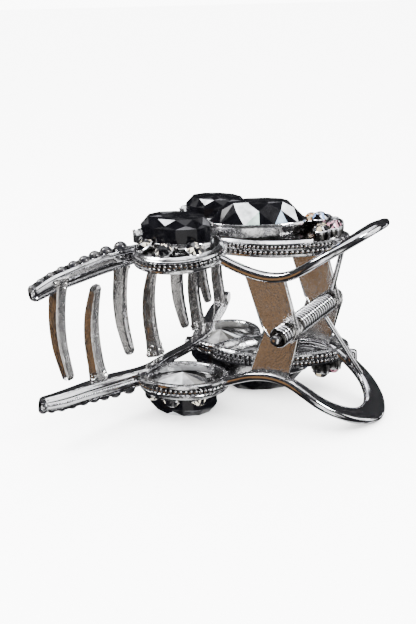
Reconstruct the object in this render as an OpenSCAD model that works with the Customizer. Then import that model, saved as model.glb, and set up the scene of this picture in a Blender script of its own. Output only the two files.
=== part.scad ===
// Hair claw clip: two jeweled jaws on one sprung hinge, lying on its side, closed.
// Frame: origin at the middle of the clip's box, +X towards the finger rings,
// -X towards the teeth, Y along the hinge pin, +Z out of the upper jaw's stones.
// The pieces are drawn from the middle of the hinge pin, which is then moved along X.

/* [Jaws] */
// Distance from the middle plane to the bars at the jaw's middle
jaw_rise = 12.6; // [12:0.1:13.4]
// Half of the clip's length along the hinge pin
bar_reach = 37.4; // [35:0.1:40]
// How far a tooth reaches past the middle plane
tooth_reach = 7.8; // [5:0.1:8]
// How much further out the lower jaw's bar tips lie than the upper jaw's
bar_sag = 1.2; // [0:0.1:1.5]
// Width of a tooth along the hinge pin
tooth_w = 2.7; // [2:0.1:3.2]

/* [Hinge] */
// Radius of the hinge pin
pin_r = 0.85; // [0.7:0.01:1]
// Running clearance round the pin
pin_gap = 0.05; // [0.03:0.01:0.09]
// Thickness of one hinge ear
ear_t = 1.1; // [0.8:0.05:1.2]
// Wire thickness of the torsion spring
wire_d = 1.0; // [0.8:0.05:1.05]
// Number of turns of the torsion spring
spring_turns = 15; // [10:1:15]

/* [Finger ring] */
// Half-width of the ring's band at its outer end
ring_w = 2.3; // [1.3:0.05:2.4]
// Half-thickness of the ring's band
ring_t = 0.9; // [0.7:0.05:1]

/* [Stones] */
// Length of an oval side stone
oval_l = 14; // [12:0.1:14.4]
// Width of an oval side stone
oval_w = 10; // [8:0.1:10.4]
// Length of the large middle stone
middle_l = 19.2; // [16:0.1:19.6]
// Width of the large middle stone
middle_w = 10.2; // [9:0.1:11.6]
// Diameter of a small round stone
chaton_d = 3.1; // [2.4:0.05:3.2]
// Height of the side stones' flat top over the middle plane
table_z = 19.4; // [19:0.05:19.5]

/* [Hidden] */
$fn = 32;
HALF = ["upper", "lower"];
PIECES = ["bars", "teeth", "ring", "ears", "near_tray", "far_tray", "middle_tray",
    "oval_stones", "middle_stone", "cluster_stones", "tray_stones", "bar_stones",
    "corner_stones"];

silver = "#c9cbce";
smoky = "#23272b";
steel = "#9da1a6";

// the hinge pin's place along X, with the origin at the middle of the clip's box
hinge_x = 11.585;
// trays: centre, radius, height of the inner lip
near_c = [-21.8, -11.2];
near_r = 8.7;
far_c = [-25.4, 13.9];
far_r = 7.4;
lip_z = jaw_rise - 1.2;
// the middle tray's frame on the jaw
mid_c = [-9.9, 8.0];
mid_a = 29;
mid_l = 13.8;
mid_w = 7.2;
mid_z = 9.9;
ear_y = [9.0 + ear_t / 2, 9.2 + ear_t * 1.5];
boss_r = 2.3;

// ---- helpers: rings of points joined into one closed solid ----
function unit(v) = v / norm(v);
function lerp(a, b, t) = a + (b - a) * t;
function flat(l) = [for (a = l) for (b = a) b];
// Catmull-Rom point of a path at s, from 0 to the number of its spans
function spline(p, s) =
    let (n = len(p) - 1, i = min(floor(s), n - 1), t = s - i,
        a = p[max(i - 1, 0)], b = p[i], c = p[i + 1], d = p[min(i + 2, n)])
    0.5 * (2 * b + (c - a) * t + (2 * a - 5 * b + 4 * c - d) * t * t
        + (3 * b - a - 3 * c + d) * t * t * t);
function smooth(p, per) = [for (k = [0 : (len(p) - 1) * per]) spline(p, k / per)];
function tangent(p, i) = unit(p[min(i + 1, len(p) - 1)] - p[max(i - 1, 0)]);
// one ring of a swept band: half-width w across, half-thickness h along up
function band(p, i, up, w, h, n) =
    let (t = tangent(p, i), s = unit(cross(up, t)), u = cross(t, s))
    [for (k = [0 : n - 1]) let (a = 360 * (k + 0.5) / n)
        p[i] + s * w * cos(a) + u * h * sin(a)];

module loft(rings) {
    n = len(rings[0]);
    m = len(rings);
    sides = [for (j = [0 : m - 2]) for (k = [0 : n - 1])
        let (a = j * n + k, b = j * n + (k + 1) % n)
        each [[a, b, b + n], [a, b + n, a + n]]];
    polyhedron(
        points = flat(rings),
        faces = concat([[for (k = [n - 1 : -1 : 0]) k]], sides,
            [[for (k = [0 : n - 1]) (m - 1) * n + k]]),
        convexity = 8);
}

// the value of a list at t, from 0 to 1 along it
function along(l, t) =
    let (s = t * (len(l) - 1), j = min(floor(s), len(l) - 2)) lerp(l[j], l[j + 1], s - j);

module sweep(p, up, ws, hs, n = 8)
    loft([for (i = [0 : len(p) - 1])
        let (t = i / (len(p) - 1)) band(p, i, up, along(ws, t), along(hs, t), n)]);

function oval(a, b, z, n, c = [0, 0], rot = 0) =
    [for (k = [0 : n - 1]) let (q = 360 * (k + 0.5) / n, x = a * cos(q), y = b * sin(q))
        [c[0] + x * cos(rot) - y * sin(rot), c[1] + x * sin(rot) + y * cos(rot), z]];

// a pointed oval, fuller at its +X end
function leaf(a, b, z, n, c, rot) =
    [for (k = [0 : n - 1])
        let (q = 360 * (k + 0.5) / n, x = a * cos(q),
            y = b * sin(q) * (1 - 0.42 * pow(max(-cos(q), 0), 2)))
        [c[0] + x * cos(rot) - y * sin(rot), c[1] + x * sin(rot) + y * cos(rot), z]];

// a faceted stone: a blunt point, a girdle and a flat top
module stone(a, b, z, crown, depth, n, c, rot = 0, top = 0.62)
    loft([oval(a * 0.12, b * 0.12, z - depth, n, c, rot), oval(a, b, z - 0.25, n, c, rot),
        oval(a, b, z + 0.35, n, c, rot), oval(a * top, b * top, z + crown, n, c, rot)]);

module half(side) {
    if (side == "upper") children();
    else mirror([0, 0, 1]) children();
}

// ---- the jaw's metal ----
function bar_path(sag) = [for (s = [-1, 1]) for (k = [0 : 4])
    let (i = s < 0 ? k : 4 - k,
        x = [-37.0, -36.0, -34.5, -32.6, -29.8][i],
        y = [bar_reach - 0.4, 32, 25.5, 19.5, 12.5][i],
        z = [jaw_rise - 3.0, jaw_rise - 1.9, jaw_rise - 1.2, jaw_rise - 0.6, jaw_rise - 0.3][i]
            + sag * [1, 0.8, 0.55, 0.3, 0][i])
    [x, s * y, z]];
function rail(p) = concat([for (k = [0 : 4]) p[k]],
    [[-29.9, -4, jaw_rise - 0.5], [-29.3, 4, jaw_rise - 0.5]],
    [for (k = [5 : 9]) p[k]]);

module bars(sag)
    color(silver)
        sweep(smooth(rail(bar_path(sag)), 3), [0, 0, 1], [0.55, 0.95, 1.2, 1.3, 1.2, 0.85, 1.2, 1.3, 1.2, 0.95, 0.55],
            [1.0, 1.7, 1.9, 2.0, 1.6, 0.9, 1.6, 2.0, 1.9, 1.7, 1.0], 8);

function tooth(y, x) = [[x, y, jaw_rise - 1.0], [x - 0.6, y, 8], [x - 1.1, y, 3],
    [x - 0.8, y, -2], [x + 0.6, y, -tooth_reach]];
UPPER_Y = [-30.8, -14.5, 4.0, 21.7];
LOWER_Y = [-21.7, -4.05, 14.5, 30.8];
function root_x(y) = let (a = abs(y)) a > 26 ? -35.3 : a > 18 ? -34.4 : a > 9 ? -32.4 : y < 0 ? -32.5 : -30.4;

module teeth(ys)
    color(silver)
        for (y = ys)
            sweep(smooth(tooth(y, root_x(y)), 2), [0, 1, 0], [1.4, 1.15, 1.1, 1.0, 0.65],
                [tooth_w * 0.6, tooth_w / 2, tooth_w / 2, tooth_w * 0.45, tooth_w * 0.3], 6);

ring_half = [[-14.6, -10.7, 12.6], [-12.4, -10.7, 11.7], [-10.0, -10.6, 10.8], [-7.4, -10.5, 10.0],
    [-4.6, -10.5, 9.6], [-2.0, -10.5, 9.7], [0.6, -10.5, 10.4], [3.3, -10.3, 11.9],
    [6.0, -9.7, 13.7], [8.5, -8.2, 15.3], [10.6, -5.8, 16.7], [11.9, -3.0, 17.6]];
ring_path = concat(ring_half, [[12.4, 0, 17.9]],
    [for (k = [11 : -1 : 1]) [ring_half[k][0], -ring_half[k][1], ring_half[k][2]]],
    [[-17.6, 11.3, 12.6]]);

module ring()
    color(silver)
        sweep(smooth(ring_path, 2), [-0.35, 0, 0.94],
            [1.0, 1.0, 1.05, 1.15, 1.5, ring_w * 0.85, ring_w, ring_w * 0.85, 1.5, 1.15, 1.05, 1.0, 1.0],
            [ring_t, ring_t], 10);

module ear_outline()
    difference() {
        union() {
            polygon([[-8.4, 9.8], [-0.5, 9.8], [2.15, 0.8], [0, -boss_r], [-4.0, -1.6], [-5.3, 0.4]]);
            circle(r = boss_r);
        }
        circle(r = pin_r + pin_gap);
    }

// an upper jaw's near ear is the outer one and its far ear the inner one
module ears()
    color(silver)
        for (y = [-ear_y[1], ear_y[0]])
            translate([0, y + ear_t / 2, 0])
                rotate([90, 0, 0])
                    linear_extrude(ear_t) ear_outline();

// a round cup, open towards the hinge
module round_tray(c, r, tilt)
    color(silver)
        translate([c[0], c[1], lip_z])
            rotate([tilt, 0, 0])
                rotate_extrude()
                    polygon([[0, 1.9], [r - 1.5, 1.9], [r - 1.3, 0], [r - 0.2, 0], [r, 0.3],
                        [r, 2.0], [r - 0.8, 3.0], [0, 3.2]]);

module middle_tray()
    color(silver)
        loft([leaf(mid_l - 3.2, mid_w - 2.6, mid_z + 2.1, 36, mid_c, mid_a),
            leaf(mid_l - 1.5, mid_w - 1.3, mid_z + 1.0, 36, mid_c, mid_a),
            leaf(mid_l - 1.2, mid_w - 1.1, mid_z, 36, mid_c, mid_a),
            leaf(mid_l, mid_w, mid_z + 0.2, 36, mid_c, mid_a),
            leaf(mid_l, mid_w, mid_z + 2.2, 36, mid_c, mid_a),
            leaf(mid_l - 0.9, mid_w - 0.8, mid_z + 3.2, 36, mid_c, mid_a)]);

// ---- the stones ----
module oval_stones()
    color(smoky)
        for (q = [[near_c + [-1.2, 1.2], 4, 0], [far_c + [-1.2, -0.6], -4, -1.0]])
            stone(oval_l / 2, oval_w / 2, table_z - 3.7 + q[2], 3.7, 3.9, 16, q[0], q[1], 0.8);

function on_leaf(u, v) = mid_c + [u * cos(mid_a) - v * sin(mid_a), u * sin(mid_a) + v * cos(mid_a)];

module middle_stone()
    color(smoky)
        stone(middle_l / 2, middle_w / 2, 15.3, table_z - 15.3, 3.9, 16, on_leaf(-4.2, 1.7), mid_a);

module chaton(p, z, d = chaton_d)
    stone(d / 2, d / 2, z, d * 0.28, d * 0.5, 8, p, 0, 0.55);

module cluster_stones()
    color(smoky)
        for (q = [[8.6, -5.1], [11.2, -2.5], [11.9, 1.0], [10.6, 4.1], [7.8, 6.2], [8.9, 0.6]])
            chaton(on_leaf(q[0] - 0.9, q[1] * 0.88), q[0] == 8.9 ? 15.8 : 14.6);

module tray_stones()
    color(smoky) {
        for (a = [-42, 6, 54])
            chaton(near_c + (near_r - 2.1) * [sin(a), -cos(a)], lip_z + 3.2, 3.2);
        for (a = [-48, 0, 48])
            chaton(far_c + (far_r - 1.9) * [sin(a), cos(a)], lip_z + 3.2, 2.9);
    }

function bar_at(p, s, t) = spline([for (k = [0 : 4]) p[s < 0 ? k : 9 - k]], t);

module bar_stones(sag)
    color(smoky)
        for (s = [-1, 1])
            for (k = [0 : 8])
                let (q = bar_at(bar_path(sag), s, 0.2 + k * 0.4), r = 0.85 + 0.06 * k)
                    translate([q[0], q[1], q[2] + 0.95 + 0.1 * k]) sphere(r = r);

module corner_stones()
    color(smoky)
        for (s = [-1, 1])
            translate([s < 0 ? -30.6 : -33.2, s < 0 ? -9.6 : 12.4, lip_z + 3.4])
                rotate([0, 0, s * 20])
                    cube([2.7, 2.7, 2.6], center = true);

// ---- the hinge ----
module hinge_pin()
    color(steel)
        translate([0, 12.5, 0])
            rotate([90, 0, 0]) cylinder(r = pin_r, h = 12.5 + 17.0);

module pin_head()
    color(steel)
        translate([0, 13.3, 0])
            rotate([90, 0, 0]) cylinder(r = 1.6, h = 0.8);

module helix(r, y0, pitch, turns, per)
    color(steel)
        sweep([for (k = [0 : turns * per]) let (a = 360 * k / per)
            [r * sin(a), y0 + pitch * k / per, r * cos(a)]], [0, 1, 0.001],
            [wire_d / 2, wire_d / 2], [wire_d / 2, wire_d / 2], 6);

module pin_end_coil() helix(1.4, -15.4, 1.08, 3, 12);
module torsion_spring() helix(1.52, -7.3, 15.6 / spring_turns, spring_turns, 12);

module rod(a, b)
    color(steel)
        translate(a)
            rotate([0, acos((b - a)[2] / norm(b - a)), atan2((b - a)[1], (b - a)[0])])
                cylinder(d = wire_d, h = norm(b - a));

module spring_lower_leg() rod([1.6, 3.3, -1.2], [7.6, 7.4, -13.6]);
module spring_upper_leg() rod([1.5, 7.1, 3.0], [3.2, 8.3, 11.4]);

// a short peg under the lower jaw's middle tray, which the spring's leg lies against
module spring_peg()
    color(silver)
        translate([5.2, 8.4, -10.9])
            rotate([0, 20, 0]) cube([2.0, 1.6, 3.4], center = true);

module placed() translate([hinge_x, 0, 0]) children();

module jaw_piece(side, piece)
    placed() half(side) {
        if (piece == "bars") bars(side == "upper" ? 0 : bar_sag);
        if (piece == "teeth") teeth(side == "upper" ? UPPER_Y : LOWER_Y);
        if (piece == "ring") ring();
        if (piece == "ears") mirror([0, side == "upper" ? 0 : 1, 0]) ears();
        if (piece == "near_tray") round_tray(near_c, near_r, 5);
        if (piece == "far_tray") round_tray(far_c, far_r, -5);
        if (piece == "middle_tray") middle_tray();
        if (piece == "oval_stones") oval_stones();
        if (piece == "middle_stone") middle_stone();
        if (piece == "cluster_stones") cluster_stones();
        if (piece == "tray_stones") tray_stones();
        if (piece == "bar_stones") bar_stones(side == "upper" ? 0 : bar_sag);
        if (piece == "corner_stones") corner_stones();
    }

for (side = HALF) for (piece = PIECES)
    jaw_piece(side, piece);
placed() hinge_pin();
placed() pin_head();
placed() pin_end_coil();
placed() torsion_spring();
placed() spring_lower_leg();
placed() spring_upper_leg();
placed() spring_peg();
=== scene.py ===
import math
import random

import bmesh
import bpy
import numpy as np
from mathutils import Matrix, Vector


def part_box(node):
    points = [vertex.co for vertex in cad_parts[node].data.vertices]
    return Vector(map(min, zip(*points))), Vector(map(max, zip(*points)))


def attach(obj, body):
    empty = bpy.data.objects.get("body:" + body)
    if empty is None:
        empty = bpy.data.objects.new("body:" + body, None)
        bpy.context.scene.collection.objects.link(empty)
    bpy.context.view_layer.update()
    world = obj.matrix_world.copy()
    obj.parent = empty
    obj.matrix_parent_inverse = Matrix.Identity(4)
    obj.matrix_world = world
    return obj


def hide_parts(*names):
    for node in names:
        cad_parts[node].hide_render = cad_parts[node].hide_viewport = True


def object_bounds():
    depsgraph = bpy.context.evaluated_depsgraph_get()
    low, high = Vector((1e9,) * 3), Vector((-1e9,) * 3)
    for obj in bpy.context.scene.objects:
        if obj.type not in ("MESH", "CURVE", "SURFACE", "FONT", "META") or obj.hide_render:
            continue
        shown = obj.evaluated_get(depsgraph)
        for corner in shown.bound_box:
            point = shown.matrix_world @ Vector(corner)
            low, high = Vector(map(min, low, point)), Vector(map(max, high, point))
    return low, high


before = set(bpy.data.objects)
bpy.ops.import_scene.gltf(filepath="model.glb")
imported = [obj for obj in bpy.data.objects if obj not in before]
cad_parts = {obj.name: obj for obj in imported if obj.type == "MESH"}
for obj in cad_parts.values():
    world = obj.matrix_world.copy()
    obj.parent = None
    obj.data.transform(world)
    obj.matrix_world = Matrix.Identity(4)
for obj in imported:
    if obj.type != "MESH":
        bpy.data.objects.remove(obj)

cad_low, cad_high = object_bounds()
MM = 0.001
HINGE_X = 11.585

# ---------------------------------------------------------------- the table and the studio
# The clip lies on its lower stones on a plain pale table, in a small white tent.
# The camera stands in front, to the right and a little above.

eye = bpy.data.cameras.new("eye")
eye.sensor_width = 36.0
eye.lens = 57.7
eye.clip_start, eye.clip_end = 0.004, 20.0
eye_stand = bpy.data.objects.new("eye", eye)
bpy.context.scene.collection.objects.link(eye_stand)
eye_right = Vector((0.8826, 0.4691, -0.0301))
eye_up = Vector((-0.1174, 0.2821, 0.9522))
eye_back = Vector((0.4552, -0.8369, 0.3040))
eye_axes = Matrix((eye_right, eye_up, eye_back)).transposed()
eye_stand.matrix_world = Matrix.Translation((0.0692 + HINGE_X * MM, -0.1681, 0.0587)) @ eye_axes.to_4x4()
bpy.context.scene.camera = eye_stand

SQUARE = ((-1, -1), (1, -1), (1, 1), (-1, 1))
TABLE_HALF, TABLE_GAP = 6, 0.0001
table_top = cad_low[2] - TABLE_GAP
table_mesh = bpy.data.meshes.new("table")
table_corners = [(sx * TABLE_HALF, sy * TABLE_HALF, table_top) for sx, sy in SQUARE]
table_mesh.from_pydata(table_corners, [], [(0, 1, 2, 3)])
table = bpy.data.objects.new("table", table_mesh)
bpy.context.scene.collection.objects.link(table)
paper = bpy.data.materials.new("pale_paper")
paper.use_nodes = True
paper_look = paper.node_tree.nodes["Principled BSDF"]
paper_look.inputs["Base Color"].default_value = (0.93, 0.93, 0.93, 1)
paper_look.inputs["Roughness"].default_value = 0.9
table_mesh.materials.append(paper)
table.visible_glossy = False

# The tent's panels, as the plating sees them: the way to each, the half angles in
# degrees where it is full and where it has faded out, and its colour.
PANELS = [
    ((0.0, 0.05, 1.0), 20, 40, (4.6, 4.6, 4.8)),
    ((0.45, -0.80, -0.38), 14, 34, (2.3, 2.28, 2.25)),
    ((-0.46, -0.84, -0.30), 8, 15, (0.23, 0.122, 0.045)),
    ((-0.95, -0.10, 0.22), 8, 20, (3.4, 3.4, 3.4)),
    ((0.93, 0.30, 0.20), 9, 24, (4.0, 4.0, 4.0)),
    ((0.83, 0.46, -0.30), 3, 16, (1.5, 1.5, 1.5)),
    ((-0.30, 0.55, 0.72), 6, 16, (4.2, 4.2, 4.4)),
    ((0.05, 0.35, -0.95), 16, 36, (1.3, 1.3, 1.3)),
    ((0.5, 0.85, -0.15), 5, 14, (2.8, 2.8, 2.9)),
]
studio = bpy.data.worlds.new("studio")
bpy.context.scene.world = studio
studio.use_nodes = True
wt = studio.node_tree
wt.nodes.clear()
w_out = wt.nodes.new("ShaderNodeOutputWorld")
w_mix = wt.nodes.new("ShaderNodeMixShader")
w_path = wt.nodes.new("ShaderNodeLightPath")
w_plain = wt.nodes.new("ShaderNodeBackground")
w_plain.inputs["Color"].default_value = (1.0, 1.0, 1.0, 1)
w_plain.inputs["Strength"].default_value = 10.0
w_gloss = wt.nodes.new("ShaderNodeBackground")
w_where = wt.nodes.new("ShaderNodeTexCoord")
w_sum = None
for heading, inner, outer, glow in PANELS:
    near = wt.nodes.new("ShaderNodeVectorMath")
    near.operation = "DOT_PRODUCT"
    near.inputs[1].default_value = Vector(heading).normalized()
    wt.links.new(w_where.outputs["Generated"], near.inputs[0])
    edge = wt.nodes.new("ShaderNodeMapRange")
    edge.interpolation_type = "SMOOTHSTEP"
    edge.inputs["From Min"].default_value = math.cos(math.radians(outer))
    edge.inputs["From Max"].default_value = math.cos(math.radians(inner))
    wt.links.new(near.outputs["Value"], edge.inputs["Value"])
    lit = wt.nodes.new("ShaderNodeVectorMath")
    lit.operation = "SCALE"
    lit.inputs[0].default_value = glow
    wt.links.new(edge.outputs["Result"], lit.inputs["Scale"])
    if w_sum is None:
        w_sum = lit.outputs["Vector"]
    else:
        both = wt.nodes.new("ShaderNodeVectorMath")
        both.operation = "ADD"
        wt.links.new(w_sum, both.inputs[0])
        wt.links.new(lit.outputs["Vector"], both.inputs[1])
        w_sum = both.outputs["Vector"]
# soft folds in the tent's cloth break each panel up
w_folds = wt.nodes.new("ShaderNodeTexNoise")
w_fold_range = wt.nodes.new("ShaderNodeMapRange")
w_folded = wt.nodes.new("ShaderNodeVectorMath")
w_folds.inputs["Scale"].default_value, w_folds.inputs["Detail"].default_value = 4.0, 2.0
w_fold_range.inputs["From Min"].default_value, w_fold_range.inputs["From Max"].default_value = 0.42, 0.56
w_fold_range.inputs["To Min"].default_value, w_fold_range.inputs["To Max"].default_value = 0.10, 1.25
w_folded.operation = "SCALE"
wt.links.new(w_where.outputs["Generated"], w_folds.inputs["Vector"])
wt.links.new(w_folds.outputs["Fac"], w_fold_range.inputs["Value"])
wt.links.new(w_sum, w_folded.inputs[0])
wt.links.new(w_fold_range.outputs["Result"], w_folded.inputs["Scale"])
w_sum = w_folded.outputs["Vector"]
w_base = wt.nodes.new("ShaderNodeVectorMath")
w_base.operation = "ADD"
w_base.inputs[1].default_value = (0.022, 0.022, 0.025)
wt.links.new(w_sum, w_base.inputs[0])
wt.links.new(w_base.outputs["Vector"], w_gloss.inputs["Color"])
wt.links.new(w_path.outputs["Is Glossy Ray"], w_mix.inputs["Fac"])
wt.links.new(w_plain.outputs["Background"], w_mix.inputs[1])
wt.links.new(w_gloss.outputs["Background"], w_mix.inputs[2])
wt.links.new(w_mix.outputs["Shader"], w_out.inputs["Surface"])

LAMPS = (("lamp_left", (-0.25, -0.12, 0.35), 0.16, 2.6), ("lamp_right", (0.32, -0.05, 0.28), 0.10, 1.6))
for lamp_name, place, size, power in LAMPS:
    lamp = bpy.data.lights.new(lamp_name, "AREA")
    lamp.size, lamp.energy = size, power
    stand = bpy.data.objects.new(lamp_name, lamp)
    stand.location = place
    stand.rotation_mode = "QUATERNION"
    stand.rotation_quaternion = (Vector((-0.01, 0, 0)) - Vector(place)).to_track_quat("-Z", "Y")
    bpy.context.scene.collection.objects.link(stand)

# ---------------------------------------------------------------- the two bars of each jaw
# Cast zinc, plated bright: each jaw's bar runs from one tip past both cups to the other,
# with a stone channel on its outer edge, a polished wall and a beaded foot line.

JAWS = (("upper", 1.0), ("lower", -1.0))
casting_look = bpy.data.node_groups.new("cast_and_plated", "ShaderNodeTree")
for socket in ("Ripple Size", "Grain Size", "Ripple", "Grain"):
    new = casting_look.interface.new_socket(socket, in_out="INPUT", socket_type="NodeSocketFloat")
    new.default_value = 1.0
for socket in ("Cloud", "Recess", "Height"):
    casting_look.interface.new_socket(socket, in_out="OUTPUT", socket_type="NodeSocketFloat")
cl = casting_look
cl_in, cl_out = cl.nodes.new("NodeGroupInput"), cl.nodes.new("NodeGroupOutput")
cl_at = cl.nodes.new("ShaderNodeTexCoord")
cl_ripple, cl_grain = cl.nodes.new("ShaderNodeTexNoise"), cl.nodes.new("ShaderNodeTexNoise")
cl_ripple.inputs["Detail"].default_value = 1.0
cl_grain.inputs["Detail"].default_value = 3.0
# recess: how much painted shade each point gets, in grooves, hollows and under stones
cl_recess = cl.nodes.new("ShaderNodeAttribute")
cl_recess.attribute_name = "recess"
cl_r, cl_g, cl_h = (cl.nodes.new("ShaderNodeMath") for _ in range(3))
cl_r.operation = cl_g.operation = "MULTIPLY"
cl_h.operation = "ADD"
cl.links.new(cl_at.outputs["Object"], cl_ripple.inputs["Vector"])
cl.links.new(cl_at.outputs["Object"], cl_grain.inputs["Vector"])
cl.links.new(cl_in.outputs["Ripple Size"], cl_ripple.inputs["Scale"])
cl.links.new(cl_in.outputs["Grain Size"], cl_grain.inputs["Scale"])
cl.links.new(cl_ripple.outputs["Fac"], cl_r.inputs[0])
cl.links.new(cl_in.outputs["Ripple"], cl_r.inputs[1])
cl.links.new(cl_grain.outputs["Fac"], cl_g.inputs[0])
cl.links.new(cl_in.outputs["Grain"], cl_g.inputs[1])
cl.links.new(cl_r.outputs[0], cl_h.inputs[0])
cl.links.new(cl_g.outputs[0], cl_h.inputs[1])
cl.links.new(cl_h.outputs[0], cl_out.inputs["Height"])
cl.links.new(cl_grain.outputs["Fac"], cl_out.inputs["Cloud"])
cl.links.new(cl_recess.outputs["Fac"], cl_out.inputs["Recess"])


BUMP_DEPTH, GRAIN_SIZE = 0.00012, 2600.0


def plating(name, bright, dark, rough, ripple, grain, ripple_size=420.0):
    """Bright plate over cast zinc, with painted shade in its recesses; slightly rippled, lightly clouded."""
    m = bpy.data.materials.new(name)
    m.use_nodes = True
    t = m.node_tree
    p = t.nodes["Principled BSDF"]
    p.inputs["Metallic"].default_value = 1.0
    g = t.nodes.new("ShaderNodeGroup")
    g.node_tree = casting_look
    g.inputs["Ripple Size"].default_value, g.inputs["Grain Size"].default_value = ripple_size, GRAIN_SIZE
    g.inputs["Ripple"].default_value, g.inputs["Grain"].default_value = ripple, grain
    cloud = t.nodes.new("ShaderNodeMapRange")
    cloud.inputs["From Min"].default_value, cloud.inputs["From Max"].default_value = 0.3, 0.7
    cloud.inputs["To Min"].default_value, cloud.inputs["To Max"].default_value = rough * 0.7, rough * 1.5
    t.links.new(g.outputs["Cloud"], cloud.inputs["Value"])
    t.links.new(cloud.outputs["Result"], p.inputs["Roughness"])
    tone = t.nodes.new("ShaderNodeMix")
    tone.data_type = "RGBA"
    tone.inputs["A"].default_value, tone.inputs["B"].default_value = (*bright, 1), (*dark, 1)
    t.links.new(g.outputs["Recess"], tone.inputs["Factor"])
    t.links.new(tone.outputs["Result"], p.inputs["Base Color"])
    bump = t.nodes.new("ShaderNodeBump")
    bump.inputs["Strength"].default_value = 1.0
    bump.inputs["Distance"].default_value = BUMP_DEPTH
    t.links.new(g.outputs["Height"], bump.inputs["Height"])
    t.links.new(bump.outputs["Normal"], p.inputs["Normal"])
    return m


plated = plating("bright_plating", (0.82, 0.82, 0.84), (0.03, 0.029, 0.027), 0.06, 0.32, 0.05)


def around(count):
    """Angles evenly spread once round."""
    return [2 * math.pi * k / count for k in range(count)]


def flowing(points, per):
    """Points along a smooth line through the given ones, per steps to a span."""
    p = np.array(points, float)
    n = len(p) - 1
    out = []
    for k in range(n * per + 1):
        i = min(k // per, n - 1)
        t = k / per - i
        a, b, c, d = p[max(i - 1, 0)], p[i], p[i + 1], p[min(i + 2, n)]
        square, cube = 2 * a - 5 * b + 4 * c - d, 3 * b - a - 3 * c + d
        out.append(0.5 * (2 * b + (c - a) * t + square * t * t + cube * t ** 3))
    return np.array(out)


def spread(values, count):
    """A list of sizes, spread evenly over count stations."""
    return np.interp(np.linspace(0, 1, count), np.linspace(0, 1, len(values)), values)


class Wax:
    """The wax a piece is cast from: its points, faces, recesses (their painted shade) and facet colours (painted
    reflections among them), in mm.
    """

    def __init__(self):
        self.points, self.faces, self.recess, self.colours = [], [], [], []

    def ring_stack(self, rings, loop=False, recess=None):
        """A skin over rings of points, closed end to end or capped."""
        start, n, m = len(self.points), len(rings[0]), len(rings)
        for j, ring in enumerate(rings):
            for k, q in enumerate(ring):
                self.points.append(tuple(q))
                self.recess.append(0.0 if recess is None else recess[j if not loop else k])
        made = []
        for j in range(m if loop else m - 1):
            for k in range(n):
                a, b = start + j * n + k, start + j * n + (k + 1) % n
                c, d = start + ((j + 1) % m) * n + (k + 1) % n, start + ((j + 1) % m) * n + k
                made.append((a, b, c, d))
        if not loop:
            made.append(tuple(start + k for k in range(n)))
            made.append(tuple(start + (m - 1) * n + k for k in range(n)))
        self.faces += made
        self.colours += [None] * len(made)

    def swept(self, path, up, outline, wide, high, recess=None):
        """outline is (across, up) points, scaled by wide and high at each station."""
        up = np.array(up, float)
        rings = []
        for i, q in enumerate(path):
            t = path[min(i + 1, len(path) - 1)] - path[max(i - 1, 0)]
            t /= np.linalg.norm(t)
            s = np.cross(up, t)
            s /= np.linalg.norm(s)
            u = np.cross(t, s)
            rings.append([q + s * wide[i] * x + u * high[i] * y for x, y in outline])
        start = len(self.points)
        self.ring_stack(rings)
        if recess is not None:
            for j in range(len(rings)):
                for k in range(len(outline)):
                    self.recess[start + j * len(outline) + k] = recess[k]

    def bead(self, centre, r, flat=1.0, sides=8, rows=5, recess=0.0):
        """A small round bump, drawn out along Z by flat."""
        c = np.array(centre, float)
        rings = []
        for j in range(1, rows):
            a = math.pi * j / rows
            wide, up = r * math.sin(a), -flat * r * math.cos(a)
            rings.append([c + (wide * math.cos(b), wide * math.sin(b), up) for b in around(sides)])
        self.ring_stack(rings, recess=[recess] * len(rings))

    def shift(self, start, matrix):
        """Moves the points made since start."""
        for i in range(start, len(self.points)):
            self.points[i] = tuple(matrix @ Vector(self.points[i]))

    def pour(self, name, sign=1.0, crease=32, flip_y=1.0, flat=False):
        """The finished piece, in metres; sign -1 mirrors it to the lower jaw."""
        mesh = bpy.data.meshes.new(name)
        p = (np.array(self.points, float) + (HINGE_X, 0, 0)) * MM
        p[:, 2] *= sign
        p[:, 1] *= flip_y
        mesh.from_pydata(p.tolist(), [], self.faces)
        # each point's share of painted shade, which the plating turns into its dark colour
        recess_shade = mesh.attributes.new("recess", "FLOAT", "POINT")
        recess_shade.data.foreach_set("value", np.array(self.recess, np.float32))
        if any(c is not None for c in self.colours):
            tint = mesh.color_attributes.new("facet", "FLOAT_COLOR", "CORNER")
            for face, c in zip(mesh.polygons, self.colours):
                for i in face.loop_indices:
                    tint.data[i].color = (*(c or (0, 0, 0)), 1)
        work = bmesh.new()
        work.from_mesh(mesh)
        bmesh.ops.recalc_face_normals(work, faces=work.faces)
        work.to_mesh(mesh)
        work.free()
        if not flat:
            mesh.shade_smooth()
            mesh.set_sharp_from_angle(angle=math.radians(crease))
        piece = bpy.data.objects.new(name, mesh)
        bpy.context.scene.collection.objects.link(piece)
        return piece


# from a tip to its cup; the lower jaw's tips stand a little further out
BAR_HALF = [(-37.0, 37.0, 9.6), (-36.0, 32.0, 10.7), (-34.5, 25.5, 11.4), (-32.6, 19.5, 12.0),
            (-29.8, 12.5, 12.3)]
BAR_STRUT = [(-29.9, -4.0, 12.1), (-29.3, 4.0, 12.1)]
BAR_SAG = (1.2, 0.96, 0.66, 0.36, 0.0)


def bar_half(side):
    return [(x, y, z + (sag if side == "lower" else 0)) for (x, y, z), sag in zip(BAR_HALF, BAR_SAG)]


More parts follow.
